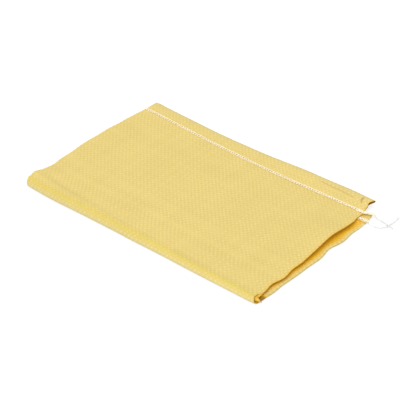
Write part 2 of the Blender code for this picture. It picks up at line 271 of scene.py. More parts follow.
# %% Routes of the two loose ends
BOTTOM_END_ROUTE = [
    (0.2998, 0.1655, 0.0096), (0.3023, 0.1687, 0.0090), (0.3076, 0.1710, 0.0085),
    (0.3127, 0.1730, 0.0077), (0.3176, 0.1725, 0.0063), (0.3235, 0.1708, 0.0042),
    (0.3287, 0.1710, 0.0023), (0.3344, 0.1713, 0.0013), (0.3410, 0.1704, 0.0012),
    (0.3484, 0.1682, 0.0020), (0.3558, 0.1651, 0.0035), (0.3617, 0.1646, 0.0027),
    (0.3673, 0.1651, 0.0011),
]
MOUTH_END_ROUTE = [
    (0.3166, 0.1510, 0.0020), (0.3194, 0.1480, 0.0014), (0.3245, 0.1458, 0.0011),
    (0.3309, 0.1454, 0.0011), (0.3371, 0.1471, 0.0011), (0.3439, 0.1497, 0.0011),
    (0.3495, 0.1536, 0.0011), (0.3529, 0.1600, 0.0011), (0.3543, 0.1681, 0.0011),
    (0.3554, 0.1761, 0.0011), (0.3561, 0.1837, 0.0011), (0.3562, 0.1918, 0.0011),
    (0.3557, 0.1985, 0.0011), (0.3542, 0.2052, 0.0011),
]
STEPS_BETWEEN_POINTS = 12


def smooth_route(route):
    """Points on a Catmull-Rom curve, which passes through every point of the route."""
    knots = [Vector(point) for point in route]
    knots = [2 * knots[0] - knots[1]] + knots + [2 * knots[-1] - knots[-2]]
    points = []
    for before, start, end, after in zip(knots, knots[1:], knots[2:], knots[3:]):
        for step in range(STEPS_BETWEEN_POINTS):
            share = step / STEPS_BETWEEN_POINTS
            bend = (2 * before - 5 * start + 4 * end - after) * share ** 2
            turn = (3 * start - before - 3 * end + after) * share ** 3
            points.append((2 * start + (end - before) * share + bend + turn) / 2)
    return points + [knots[-2]]


def length_of(points):
    return sum((end - start).length for start, end in zip(points, points[1:]))


BOTTOM_END_LINE = smooth_route(BOTTOM_END_ROUTE)
MOUTH_END_LINE = smooth_route(MOUTH_END_ROUTE)
print("loose ends, in metres:", round(length_of(BOTTOM_END_LINE), 4), round(length_of(MOUTH_END_LINE), 4))

# %% [markdown]
# Twisting a thread from its strands
#
# The thread is three thin strands, loosely twisted. Where nothing pulls on it they part and lie
# flat, and at its cut end they fray. A plain tube would look like wire. In this tree the path is
# copied for each strand, and each copy winds round it, wide to the sides and low upwards.

# %% A tree that winds strands round a path
THREAD_THICKNESS = 0.0018
STRAND_SIDES = 6
MOUTH_END_SIZES = {
    "Strands": 3,
    "Strand thickness": THREAD_THICKNESS / 2,
    "Twist length": 0.0045,
    "Flatness": 0.25,
    "Open from": 0.000,
    "Open to": 0.110,
    "Open width": 0.0022,
    "Fray from": 0.074,
    "Fray width": 0.06,
    "Material": SHADED_SLACK_MATERIAL,
}
BOTTOM_END_SIZES = MOUTH_END_SIZES | {
    "Open from": 0.006,
    "Open to": 0.095,
    "Open width": 0.0021,
    "Fray from": 0.066,
}


def twisted_thread_tree():
    tree, given, path = begin_tree("twisted_thread", MOUTH_END_SIZES)
    level = add_node(tree, "GeometryNodeSetCurveNormal", {"Curve": path}, mode="Z_UP").outputs["Curve"]
    feeds = {"Geometry": level, "Amount": given["Strands"]}
    strands = add_node(tree, "GeometryNodeDuplicateElements", feeds, domain="SPLINE")

    # Where each strand is on its way round the path
    along = add_node(tree, "GeometryNodeSplineParameter").outputs["Length"]
    turns = calculate(tree, "DIVIDE", along, given["Twist length"])
    phase = calculate(tree, "DIVIDE", strands.outputs["Duplicate Index"], given["Strands"])
    angle = product(tree, calculate(tree, "ADD", turns, phase), 2 * math.pi)

    # How far from the path it lies: half its thickness, more where the thread opens or frays
    into_opening = scale_range(tree, along, given["Open from"], given["Open to"], 0.0, math.pi)
    opened = product(tree, calculate(tree, "SINE", into_opening), given["Open width"])
    past_fray = calculate(tree, "MAXIMUM", calculate(tree, "SUBTRACT", along, given["Fray from"]), 0.0)
    spread = calculate(tree, "MULTIPLY_ADD", given["Strand thickness"], 0.5, opened)
    spread = calculate(tree, "MULTIPLY_ADD", past_fray, given["Fray width"], spread)

    # Sideways and upwards from the path, less far upwards because the thread lies flat
    side = add_node(tree, "GeometryNodeInputNormal").outputs["Normal"]
    tangent = add_node(tree, "GeometryNodeInputTangent").outputs["Tangent"]
    upright = combine(tree, "CROSS_PRODUCT", tangent, side)
    sideways = product(tree, calculate(tree, "COSINE", angle), spread)
    upwards = product(tree, calculate(tree, "SINE", angle), spread, given["Flatness"])
    offset = combine(tree, "ADD", scale_vector(tree, side, sideways), scale_vector(tree, upright, upwards))
    feeds = {"Geometry": strands.outputs["Geometry"], "Offset": offset}
    wound = add_node(tree, "GeometryNodeSetPosition", feeds).outputs["Geometry"]
    tube = round_tube(tree, wound, given["Strand thickness"], STRAND_SIDES, True)
    return end_tree(tree, tube, given["Material"])


THREAD_TREE = twisted_thread_tree()
bottom_end = apply_tree("bottom_thread_end", [BOTTOM_END_LINE], THREAD_TREE, BOTTOM_END_SIZES)
mouth_end = apply_tree("mouth_thread_end", [MOUTH_END_LINE], THREAD_TREE, MOUTH_END_SIZES)

# %% [markdown]
# Smooth steps and hills
#
# Every shape below is a sum of smooth steps and round hills. Sculpting could shape the cloth too,
# but each step or hill can be measured and changed alone.

# %% Steps and hills


def mix(start, end, share):
    return start + (end - start) * share


def smooth(value, start, end):
    """Rise gently from 0 at start to 1 at end. start may be the larger of the two."""
    share = min(max((value - start) / (end - start), 0.0), 1.0)
    return share * share * (3.0 - 2.0 * share)


def mound(value, centre, reach):
    """A rounded hill of height 1 at centre."""
    return math.exp(-((value - centre) / reach) ** 2)


def hills(value, table):
    """The sum of some hills, each a height, a centre and a reach."""
    return sum(height * mound(value, centre, reach) for height, centre, reach in table)


def ridges(value, inwards, table):
    """Hills on an edge: a height, a centre and a reach along it, and a reach in from it."""
    total = 0.0
    for height, centre, reach, depth in table:
        total += height * mound(value, centre, reach) * mound(inwards, 0.0, depth)
    return total


print("half way up a step:", smooth(0.5, 0.0, 1.0))

# %% [markdown]
# Sizes of the folded sack
#
# The cloth is one flat tube. From the bottom end's raw edge it turns over the hem, runs along the
# top, round the rolled fold, back along the floor and out over its own mouth as a cuff. The sizes
# follow the construction model, in metres, with +X along the sewn end.

# %% Sizes of the tube and its folds
SACK_WIDTH = 0.600
FOLDED_DEPTH = 0.404
CLOTH = 0.0003
LAYER_PITCH = 0.0008
PACKET_CENTRE = Vector((-0.0005, -0.0040, 0.0))
FOLD_Y = -FOLDED_DEPTH / 2
HEM_Y = FOLDED_DEPTH / 2
MOUTH_Y = HEM_Y - 0.031
CUFF_END_Y = MOUTH_Y - 0.034
CUFF_RAMP = 0.030
CUFF_RAMP_MARGIN = 0.002
MOUTH_SEAM_IN = 0.025
SEAM_ROOM = 0.0017
FOLD_SET_BACK = 0.0004
FOLD_BULGE = 0.0082
FOLD_BULGE_OVER = (0.85, -0.75)
FOLD_HILLS = [
    (0.0027, 0.58, 0.42), (0.0024, -0.77, 0.20), (0.0008, 0.0, 0.12), (-0.0014, 1.0, 0.020),
]
HEM_SEAM_IN = (0.0358, 0.0435)
HEM_SEAM_OVER = (-1.0, 0.3)
SEAM_BOW = [(0.0035, 0.30, 0.40)]
SEAM_HOOK = 0.0024
SEAM_HOOK_OVER = (0.82, 1.0)
HEM_RAW_IN = 0.054
HEM_LOOP_RADIUS = 0.0026
HEM_LOOP_DEPTH = 0.030
HEM_GAPE = 0.0018
HEM_GAPE_REACH = 0.030
HEM_GAPE_OPENS = (HEM_LOOP_RADIUS, 0.012)
HEM_GAPE_CLOSES = (0.036, 0.020)

# %% Lines across the sack. across runs from -1 at the left edge to 1 at the right


def from_left(across):
    """Distance in from the flat tube's left edge."""
    return (1.0 + across) * SACK_WIDTH / 2


def from_right(across):
    return (1.0 - across) * SACK_WIDTH / 2


def fold_line(across):
    """Y of the folded edge."""
    bulge = FOLD_BULGE * smooth(across, *FOLD_BULGE_OVER) + hills(across, FOLD_HILLS)
    return FOLD_Y - FOLD_SET_BACK - bulge


def seam_line(across):
    """Y of the bottom seam, which bows a little away from the hem."""
    inwards = mix(*HEM_SEAM_IN, smooth(across, *HEM_SEAM_OVER)) + hills(across, SEAM_BOW)
    return HEM_Y - inwards + SEAM_HOOK * smooth(across, *SEAM_HOOK_OVER)


print("folded edge from", round(fold_line(-1.0), 4), "to", round(fold_line(1.0), 4))

# %% [markdown]
# How the top lies
#
# Folded cloth never lies dead flat. Its sewn end rises at both corners, its side edges arch, and it
# climbs gently to the top of the roll. Slow noise adds the ripples of soft cloth, and finer noise
# puckers it along the seam.

# %% Height of the cloth's upper surface
PLATEAU = 0.0105
HEM_HEIGHT = 0.0088
HEM_FLAT = 0.055
HEM_CURL = 0.0090
HEM_CURL_OVER = (-0.020, 0.270)
HEM_CURL_REACH = 0.033
HEM_RIDGES = [
    (0.0055, -0.300, 0.150, 0.060), (-0.0013, -0.110, 0.090, 0.080),
    (0.0014, -0.287, 0.011, 0.020), (0.0020, 0.090, 0.060, 0.033),
    (0.0012, 0.138, 0.030, 0.033), (-0.0010, 0.300, 0.030, 0.033),
]
LEFT_RIDGES = [
    (0.0062, 0.231, 0.125, 0.050), (0.0040, 0.062, 0.030, 0.040),
]
RIGHT_RIDGES = [(0.0045, 0.241, 0.095, 0.050)]
RIGHT_DIP = [(-0.0030, 0.046, 0.030, 0.045)]
RIPPLES = [
    (0.0009, 0.120, 0.100, 3.7), (0.0003, 0.040, 0.030, 9.1),
]
PUCKER = 0.00035
PUCKER_SPACING = 0.0075
PUCKER_REACH = 0.011
PUCKER_SLICE = 1.3
SEAM_SINK = 0.0006
SEAM_SINK_REACH = 0.0035
ROLL_HEIGHT = (0.0205, 0.0110)
ROLL_WIDTH = (0.056, 0.023)
ROLL_TAPER = 0.190
ROLL_FULL_SHARE = 0.42
ROLL_FOOT_SHARE = 1.1
ROLL_RIPPLE = 0.5


def ripples(x, y):
    """Slow waves of soft cloth. Each size has its height, its two lengths and a slice of noise."""
    waves = 0.0
    for height, length_x, length_y, slice_of_noise in RIPPLES:
        waves += height * noise.noise(Vector((x / length_x, y / length_y, slice_of_noise)))
    return waves


def seam_relief(x, off_seam):
    """The bottom seam sinks into the cloth and puckers it."""
    pucker = noise.noise(Vector((x / PUCKER_SPACING, off_seam / PUCKER_REACH, PUCKER_SLICE)))
    relief = PUCKER * pucker * mound(off_seam, 0.0, PUCKER_REACH)
    return relief - SEAM_SINK * mound(off_seam, 0.0, SEAM_SINK_REACH)


def top_height(across, y):
    """Height of the outer wall of the upper half above the floor."""
    x = across * SACK_WIDTH / 2
    in_from_fold = y - fold_line(across)
    in_from_hem = HEM_Y - y
    height = mix(HEM_HEIGHT, PLATEAU, smooth(in_from_hem, HEM_FLAT, 3 * HEM_FLAT))
    height += HEM_CURL * smooth(x, *HEM_CURL_OVER) * mound(in_from_hem, 0.0, HEM_CURL_REACH)
    height += ridges(x, in_from_hem, HEM_RIDGES)
    height += ridges(in_from_fold, from_left(across), LEFT_RIDGES)
    height += ridges(in_from_fold, from_right(across), RIGHT_RIDGES)
    height += ridges(in_from_hem, from_right(across), RIGHT_DIP)
    height += ripples(x, y) + seam_relief(x, y - seam_line(across))

    # The roll is highest and widest at its left end
    roll_height = mix(*ROLL_HEIGHT, (1.0 + across) / 2) + ROLL_RIPPLE * ripples(x, FOLD_Y)
    width = mix(ROLL_WIDTH[1], ROLL_WIDTH[0], math.exp(-from_left(across) / ROLL_TAPER))
    behind = smooth(in_from_fold, ROLL_FULL_SHARE * width, ROLL_FOOT_SHARE * width)
    return mix(roll_height, height, behind)


print("top at the middle:", round(1000 * top_height(0.0, 0.0), 2), "mm")

# %% [markdown]
# How the side edges run
#
# The tube's side edges are where the flat cloth turns back on itself. They wander in and out by a
# few millimetres, and the lower half has slid to the right, so a strip of it shows. Each edge is
# the straight flat edge plus a few hills, steps, a swing that dies away, and a short wave.

# %% Shifts of the edges, in metres towards +X, placed by their distance in from the fold
UPPER_LEFT_SHIFT = -0.0045
UPPER_LEFT = {
    "hills": [
        (-0.0085, 0.231, 0.125), (-0.0035, 0.085, 0.070), (-0.0013, 0.173, 0.035),
        (-0.0022, 0.320, 0.035), (0.0012, 0.222, 0.018), (-0.0024, 0.024, 0.013),
    ],
    "steps": [(-0.0040, 0.050, 0.020)],
    "swing": (-0.0030, 0.038, 0.074, 0.055),
}
# The last hill and the last two steps nip in the hem's right end, just behind its fold
UPPER_RIGHT = {
    "hills": [
        (-0.0072, 0.250, 0.100), (0.0022, 0.308, 0.028), (-0.0014, 0.058, 0.020),
        (-0.0008, 0.126, 0.018), (-0.0045, 0.390, 0.007),
    ],
    "steps": [
        (-0.0034, 0.320, 0.342), (0.0012, 0.150, 0.200), (-0.0055, 0.150, 0.050),
        (-0.0045, 0.040, 0.008), (-0.0036, 0.360, 0.376), (0.0020, 0.398, 0.404),
    ],
    "swing": (0.0026, 0.0875, 0.071, 0.055),
}
# The first step is the slide of the lower half
LOWER_BOTH = {
    "hills": [
        (0.0033, 0.345, 0.038), (0.0013, 0.070, 0.060), (-0.0060, 0.226, 0.022),
        (0.0011, 0.262, 0.018), (-0.0018, 0.297, 0.016),
    ],
    "steps": [
        (0.0125, 0.000, 0.250), (-0.0050, 0.330, 0.385),
    ],
    "swing": (0.0015, 0.048, 0.076, 0.040),
}
EDGE_WAVE = 0.0016
EDGE_WAVE_LENGTH = 0.045
EDGE_WAVE_SLICE = 0.5
LOWER_WAVE_SHARE = 0.6

# %% X of the left and right edges


def edge_shift(edge, in_from_fold):
    """The sum of the edge's hills, its steps and its swing at this place."""
    shift = hills(in_from_fold, edge["hills"])
    shift += sum(height * smooth(in_from_fold, start, end) for height, start, end in edge["steps"])
    height, centre, period, reach = edge["swing"]
    turn = 2 * math.pi * (in_from_fold - centre) / period
    return shift + height * math.cos(turn) * mound(in_from_fold, centre, reach)


def edge_wave(y, row):
    """The short wave of one edge. row picks another stretch of noise for each edge."""
    return EDGE_WAVE * noise.noise(Vector((y / EDGE_WAVE_LENGTH, row, EDGE_WAVE_SLICE)))


def side_edges(y, lower_share):
    """X of the two edges. lower_share is 0 in the upper half and 1 in the lower."""
    upper_left = UPPER_LEFT_SHIFT + edge_shift(UPPER_LEFT, y - FOLD_Y) + edge_wave(y, 2.0)
    upper_right = edge_shift(UPPER_RIGHT, y - FOLD_Y) + edge_wave(y, 5.0)
    lower = edge_shift(LOWER_BOTH, y - FOLD_Y)
    left = mix(upper_left, lower, lower_share)
    right = mix(upper_right, lower + LOWER_WAVE_SHARE * edge_wave(y, 8.0), lower_share)
    return left - SACK_WIDTH / 2, right + SACK_WIDTH / 2


print("edges at the middle:", [round(x, 4) for x in side_edges(0.0, 0.0)])

# %% [markdown]
# Room between the two walls
#
# The tube's walls touch where they are pressed and stand a little apart elsewhere, most of all at
# the side edges and inside the open ends of the roll. The gap is one number at each place, and both
# walls follow it, so they can't cut through each other.

# %% Gaps between the walls, and the lower half's height
UPPER_SPARE = 0.0009
LOWER_SPARE = 0.0012
LOWER_EDGE_SPARE = 0.0022
LOWER_EDGE_REACH = 0.020


def upper_gap(y):
    return LAYER_PITCH + UPPER_SPARE * smooth(HEM_Y - y, HEM_RAW_IN, 2 * HEM_RAW_IN)


def lower_gap(across, y):
    """The mouth's sewn cuff presses the walls of the lower half together."""
    spare = LOWER_SPARE + LOWER_EDGE_SPARE * mound(from_right(across), 0.0, LOWER_EDGE_REACH)
    return LAYER_PITCH + spare * smooth(y, CUFF_END_Y, CUFF_END_Y - 2 * CUFF_RAMP)


def lower_height(y):
    """The lower half lies on the floor, then rises over its own cuff and seam."""
    ramp_end = CUFF_END_Y - CUFF_RAMP_MARGIN
    return CLOTH / 2 + (SEAM_ROOM + LAYER_PITCH) * smooth(y, ramp_end - CUFF_RAMP, ramp_end)


print("gaps at the middle:", round(1000 * upper_gap(0.0), 2), round(1000 * lower_gap(0.0, 0.0), 2), "mm")

# %% [markdown]
# The stages of the tube
#
# Going along the cloth there are seven stages. Each is a function that takes a share from 0 to 1
# along the stage, a place across from -1 to 1, and the wall, 0 for the outer and 1 for the inner. It
# gives back y, height, and how far the edges follow the lower half.

# %% One function for each stage
OUTER = 0
INNER = 1
ROLL_IN = 0.0105
ROLL_SAG = 1.5
ROLL_SPARE = 0.0007
ROLL_END_SPARE = 0.0060
ROLL_END_REACH = 0.030


def flap(share, across, wall):
    """The turned-under end, from its raw edge to the hem's fold."""
    y = mix(HEM_Y - HEM_RAW_IN, HEM_Y - HEM_LOOP_RADIUS, share)
    pressed = 3 * LAYER_PITCH
    depth = mix(2 * HEM_LOOP_RADIUS, pressed, smooth(HEM_Y - y, HEM_LOOP_RADIUS, HEM_LOOP_DEPTH))
    gape = smooth(HEM_Y - y, *HEM_GAPE_OPENS) * smooth(HEM_Y - y, *HEM_GAPE_CLOSES)
    depth += HEM_GAPE * gape * mound(from_right(across), 0.0, HEM_GAPE_REACH)
    return y, top_height(across, y) - depth + wall * LAYER_PITCH, 0.0


def hem_turn(share, across, wall):
    """The hem's fold, which stays a little open."""
    y = HEM_Y - HEM_LOOP_RADIUS
    radius = HEM_LOOP_RADIUS - wall * LAYER_PITCH
    angle = math.pi * (share - 0.5)
    centre = top_height(across, y) - HEM_LOOP_RADIUS
    return y + radius * math.cos(angle), centre + radius * math.sin(angle), 0.0


def upper_half(share, across, wall):
    """From the hem's fold to the top of the roll."""
    y = mix(HEM_Y - HEM_LOOP_RADIUS, fold_line(across) + ROLL_IN, share)
    return y, top_height(across, y) - wall * upper_gap(y), 0.0


def roll(share, across, wall):
    """The rolled fold, from its top round to the floor."""
    y = fold_line(across) + ROLL_IN
    top = top_height(across, y) - wall * upper_gap(y)
    bottom = CLOTH / 2 + wall * lower_gap(across, y)
    ends = (from_right(across), from_left(across))
    open_end = sum(mound(inwards, 0.0, ROLL_END_REACH) for inwards in ends)
    spare = LAYER_PITCH + ROLL_SPARE + ROLL_END_SPARE * open_end
    reach = ROLL_IN - CLOTH / 2 - wall * spare
    middle = (top + bottom) / 2
    half = (top - bottom) / 2
    forward = reach * math.sin(math.pi * share ** ROLL_SAG)
    return y - forward, middle + half * math.cos(math.pi * share), smooth(share, 0.0, 1.0)


def lower_half(share, across, wall):
    """From the foot of the roll to the mouth."""
    y = mix(fold_line(across) + ROLL_IN, MOUTH_Y - LAYER_PITCH / 2, share)
    return y, lower_height(y) + wall * lower_gap(across, y), 1.0


def mouth_turn(share, across, wall):
    """Each wall turns outward at the mouth: the outer one down, the inner one up."""
    radius = LAYER_PITCH / 2
    y = MOUTH_Y - radius
    angle = math.pi * share
    outward = (2 * wall - 1) * radius * (1.0 - math.cos(angle))
    return y + radius * math.sin(angle), lower_height(y) + wall * LAYER_PITCH + outward, 1.0


def cuff(share, across, wall):
    """The turned-out cuff, back from the mouth to its raw edge."""
    y = mix(MOUTH_Y - LAYER_PITCH / 2, CUFF_END_Y, share)
    return y, lower_height(MOUTH_Y) + (3 * wall - 1) * LAYER_PITCH, 1.0


# Each stage and its number of cells along the cloth
STAGES = [
    (flap, 8),
    (hem_turn, 10),
    (upper_half, 112),
    (roll, 24),
    (lower_half, 58),
    (mouth_turn, 6),
    (cuff, 10),
]
print("cells along the cloth:", sum(cells for stage, cells in STAGES))

# %% [markdown]
# One ring round the tube
#
# A ring of points goes along the outer wall, round the right edge, back along the inner wall and
# round the left edge. An edge is a small half circle that bulges outwards. At the right end of the
# roll it is tucked in, which leaves a slot, dark with real shadow and with painted dark shade, and
# the inner wall has slid out as a tongue.

# %% Points of one ring
ACROSS_CELLS = 90
EDGE_CROWDING = 0.6
EDGE_CELLS = 6
TUCK = 3.0
TUCK_AT_TOP = 0.6
TUCK_FADE = 0.035
TUCK_ROUNDNESS = 0.35
ROLL_TONGUE = 0.0100


def place(x, y, z):
    return Vector((x, y, z)) - PACKET_CENTRE


def across_at(column):
    """Columns lie closer together near the side edges."""
    even = 2 * column / ACROSS_CELLS - 1
    return mix(even, math.sin(math.pi / 2 * even), EDGE_CROWDING)


COLUMNS = [across_at(column) for column in range(ACROSS_CELLS + 1)]


def tuck_share(stage, share):
    """How much the right edge is tucked in: most half way round the roll, fading on its top."""
    if stage is roll:
        return mix(TUCK_AT_TOP * (1.0 - share), 1.0, math.sin(math.pi * share) ** TUCK_ROUNDNESS)
    if stage is upper_half:
        in_from_fold = stage(share, 1.0, OUTER)[0] - fold_line(1.0)
        return TUCK_AT_TOP * smooth(in_from_fold, TUCK_FADE, ROLL_IN)
    return 0.0


def wall_point(stage, share, across, wall):
    y, z, lower_share = stage(share, across, wall)
    left, right = side_edges(y, lower_share)
    right += wall * ROLL_TONGUE * tuck_share(stage, share)
    return place(mix(left, right, (1.0 + across) / 2), y, z)


def edge_arc(start, end, bulge):
    """Points of a half circle between two walls, which bulges to +X, or to -X if negative."""
    middle = (start + end) / 2
    arm = start - middle
    points = []
    for step in range(1, EDGE_CELLS):
        angle = math.pi * step / EDGE_CELLS
        sideways = Vector((bulge * arm.length * math.sin(angle), 0.0, 0.0))
        points.append(middle + arm * math.cos(angle) + sideways)
    return points


def ring_points(stage, share):
    outer = [wall_point(stage, share, across, OUTER) for across in COLUMNS]
    inner = [wall_point(stage, share, across, INNER) for across in COLUMNS]
    right_bulge = mix(1.0, -TUCK, tuck_share(stage, share))
    points = outer + edge_arc(outer[-1], inner[-1], right_bulge) + inner[::-1]
    return points + edge_arc(inner[0], outer[0], -1.0) + [outer[0]]


print("points in a ring:", len(ring_points(upper_half, 0.5)))

# %% [markdown]
# Painted light and shade inside the folds
#
# Woven tape lets some light through, so the cloth inside a fold looks a deep gold. A path tracer
# could follow that light, but it takes many bounces, so it is painted instead. Here each vertex keeps
# a number: 0 in the open, 1 inside a fold and 2 in the dark of its end. By it the material paints a
# deeper gold shade and a faint glow, and at 2 a dark shade.

# %% How far inside a fold each point lies, for its painted shade and glow
# The hole near the roll's right end, the roll's inner wall past its middle and the hem's right end get up
# to 2, painted dark shade; near its edge the roll's tongue is left out of the painted shade
INSIDE_REACH = 0.010
MOUTH_REACH = 0.035
MOUTH_REACH_OVER = (0.040, 0.015)
FOLD_END_REACH = 0.012
FOLD_END_OVER = (0.080, 0.030)
HOLE_OPENS = (0.009, 0.015)
HOLE_CLOSES = (0.032, 0.026)
TONGUE_LIGHT = (-0.005, 0.010)
ROLL_DARK_OVER = (0.55, 0.75)
HEM_END_REACH = 0.012
HEM_DARK_OVER = (0.026, 0.018)
# The outer wall gets a little painted gold shade near its right edge
RIM_REACH = 0.006
RIM_SHARE = 0.45


# The share of painted fold shade and glow at a point of a wall
def fold_shade_and_glow_share(stage, share, across, wall):
    y = stage(share, across, wall)[0]
    in_from_edge = min(from_right(across), from_left(across))
    at_right_end = mound(from_right(across), 0.0, HEM_END_REACH)
    if stage in (lower_half, mouth_turn, cuff):
        in_from_fold = y - fold_line(across)
        reach = mix(INSIDE_REACH, MOUTH_REACH, smooth(MOUTH_Y - y, *MOUTH_REACH_OVER))
        reach += FOLD_END_REACH * smooth(in_from_fold, *FOLD_END_OVER)
        hole = smooth(in_from_fold, *HOLE_OPENS) * smooth(in_from_fold, *HOLE_CLOSES)
        return max(smooth(in_from_edge, 0.0, reach), 2.0 * hole * at_right_end)
    if stage is roll and wall == INNER:
        return mix(smooth(in_from_edge, *TONGUE_LIGHT), 2.0, smooth(share, *ROLL_DARK_OVER))
    if wall == INNER or stage is flap:
        return 1.0 + at_right_end * smooth(HEM_Y - y, *HEM_DARK_OVER)
    return RIM_SHARE * smooth(from_right(across), RIM_REACH, 0.0)


def ring_fold_shade_and_glow(stage, share):
    """The same number for each point of a ring. A tucked edge is painted dark, as shade."""
    outer = [fold_shade_and_glow_share(stage, share, across, OUTER) for across in COLUMNS]
    inner = [fold_shade_and_glow_share(stage, share, across, INNER) for across in COLUMNS]
    steps = [step / EDGE_CELLS for step in range(1, EDGE_CELLS)]
    painted_tuck_shade = 2.0 * tuck_share(stage, share)
    right = [max(mix(outer[-1], inner[-1], step), painted_tuck_shade) for step in steps]
    left = [mix(inner[0], outer[0], step) for step in steps]
    return outer + right + inner[::-1] + left + [outer[0]]


print("inside shares in a ring:", len(ring_fold_shade_and_glow(upper_half, 0.5)))

# %% [markdown]
# The whole cloth
#
# Rings from all the stages make one grid. It starts flat, its vertices move to the folded places,
# its long side is welded, and Solidify gives it thickness. A UV map in metres is laid on it first:
# u runs round the tube and v along it, so that the weave follows every fold at its real size.

# %% One grid from all the rings
EDGE_TURN = 0.0012
WELD_DISTANCE = CLOTH / 30


def round_distances():
    """Distance round the flat tube at each column of the grid."""
    outer = [mix(EDGE_TURN, SACK_WIDTH - EDGE_TURN, (1.0 + across) / 2) for across in COLUMNS]
    inner = [2 * SACK_WIDTH - distance for distance in outer[::-1]]
    steps = [2 * step / EDGE_CELLS - 1 for step in range(1, EDGE_CELLS + 1)]
    right_turn = [SACK_WIDTH + EDGE_TURN * step for step in steps[:-1]]
    return outer + right_turn + inner + [2 * SACK_WIDTH + EDGE_TURN * step for step in steps]


def along_distances(rings):
    """Distance along the cloth's middle line at each ring."""
    middle = ACROSS_CELLS // 2
    along = [0.0]
    for before, ring in zip(rings, rings[1:]):
        along.append(along[-1] + (ring[middle] - before[middle]).length)
    return along


def make_cloth(name):
    places = [(flap, 0.0)]
    places += [(stage, cell / cells) for stage, cells in STAGES for cell in range(1, cells + 1)]
    rings = [ring_points(stage, share) for stage, share in places]
    fold_shade_and_glow_shares = [ring_fold_shade_and_glow(stage, share) for stage, share in places]
    around = round_distances()
    along = along_distances(rings)
    row_length = len(around)
    grid = bmesh.new()
    bmesh.ops.create_grid(grid, x_segments=row_length - 1, y_segments=len(rings) - 1, size=0.5)
    weave = grid.loops.layers.uv.new("weave")
    # The inside layer carries each vertex's share of painted fold shade and glow
    inside = grid.verts.layers.float.new("inside")
    for face in grid.faces:
        for corner in face.loops:
            row, column = divmod(corner.vert.index, row_length)
            corner[weave].uv = (around[column], along[row])
    for vertex in grid.verts:
        row, column = divmod(vertex.index, row_length)
        vertex.co = rings[row][column]
        vertex[inside] = fold_shade_and_glow_shares[row][column]
    bmesh.ops.remove_doubles(grid, verts=grid.verts, dist=WELD_DISTANCE)
    bmesh.ops.recalc_face_normals(grid, faces=grid.faces)
    mesh = bpy.data.meshes.new(name)
    grid.to_mesh(mesh)
    grid.free()
    mesh.shade_smooth()
    cloth = new_object(name, mesh)
    thickness = cloth.modifiers.new("Cloth thickness", "SOLIDIFY")
    thickness.thickness = CLOTH
    thickness.offset = 0.0
    print(name, "has", len(mesh.polygons), "faces and", round(along[-1], 3), "m of cloth")
    return cloth


sack = make_cloth("woven_sack")

# %% [markdown]
# The woven tape
#
# The cloth is woven from flat plastic tapes about 5 mm wide. At each crossing one tape arches over
# the other, a chequer of small pillows. They could be modelled, but a sack has some forty thousand,
# so here they are a height for the Bump node. The sums run on the UV map: a distance divided by the
# tape's width gives the tape's number and the place on it.

# %% Where a point lies in the weave
WARP_TAPE = 0.0050
WEFT_TAPE = 0.0057


def floor_and_rest(tree, value):
    """A tape's number, and the place across it from -0.5 to 0.5."""
    number = calculate(tree, "FLOOR", value)
    return number, calculate(tree, "SUBTRACT", calculate(tree, "SUBTRACT", value, number), 0.5)


def choose(tree, chooser, at_zero, at_one):
    """at_zero where chooser is 0 and at_one where it is 1. Sockets 2 and 3 are the numbers."""
    feeds = {0: chooser, 2: at_zero, 3: at_one}
    return add_node(tree, "ShaderNodeMix", feeds, data_type="FLOAT").outputs[0]


def weave_places(tree):
    """The place on the cloth, the tape numbers, which tape is on top, and the place on that one."""
    uv = add_node(tree, "ShaderNodeUVMap", uv_map="weave").outputs["UV"]
    split = add_node(tree, "ShaderNodeSeparateXYZ", {"Vector": uv}).outputs
    warp, in_warp = floor_and_rest(tree, calculate(tree, "DIVIDE", split["X"], WARP_TAPE))
    weft, in_weft = floor_and_rest(tree, calculate(tree, "DIVIDE", split["Y"], WEFT_TAPE))
    warp_on_top = calculate(tree, "FLOORED_MODULO", calculate(tree, "ADD", warp, weft), 2.0)
    along = choose(tree, warp_on_top, in_warp, in_weft)
    across = choose(tree, warp_on_top, in_weft, in_warp)
    return uv, split["Y"], warp, weft, warp_on_top, along, across


# %% [markdown]
# Colour and gloss of the cloth
#
# Pale yellow plastic, a little different from tape to tape. A circular loom lays the weft from four
# shuttles in turn, so a fuller shuttle shows on every fourth tape. Fine streaks run along each tape.
# Tints lie over this: painted gold shade and a painted glow inside the folds, a cooler band just
# behind the hem's fold, a band of painted shade along the roll's crest and one of painted light on
# its lower front, painted shade in two creases, and painted light on the slope behind the roll. A
# picture of cloth could be used, but sums on the tape numbers never repeat and never blur.

# %% Colours, contrasts and tints
TAPE_PALE = (0.614, 0.478, 0.154, 1.0)
TAPE_DEEP = (0.504, 0.382, 0.107, 1.0)
TAPE_ROUGHNESS = (0.48, 0.66)
TAPE_IOR = 1.49
TAPE_FLATNESS = 6.0
WEAVE_RELIEF = 0.00016
SHUTTLES = 4.0
SHUTTLE_CONTRAST = 0.06
TAPE_CONTRAST = 0.32
STREAK_CONTRAST = 0.65
PATCH_CONTRAST = 0.46
CROSSING_SHADE = 0.36
CHEQUER_CONTRAST = 0.42
STREAK_SCALES = (900.0, 30.0)
STREAK_TONES = (0.3, 0.7)
STREAK_RELIEF = 0.15
PATCH_SCALE = 14.0
# Painted fold shade, painted dark shade at a fold's end, and a painted glow inside the folds
PAINTED_FOLD_SHADE_TINT = (0.97, 0.71, 0.05, 1.0)
PAINTED_DARK_SHADE_TINT = (0.38, 0.31, 0.25, 1.0)
NO_PAINTED_GLOW = (0.0, 0.0, 0.0, 1.0)
PAINTED_GLOW_COLOUR = (1.0, 0.52, 0.02, 1.0)
PAINTED_GLOW_STRENGTH = 0.12
PAINTED_GLOW_LOSS = 1.6
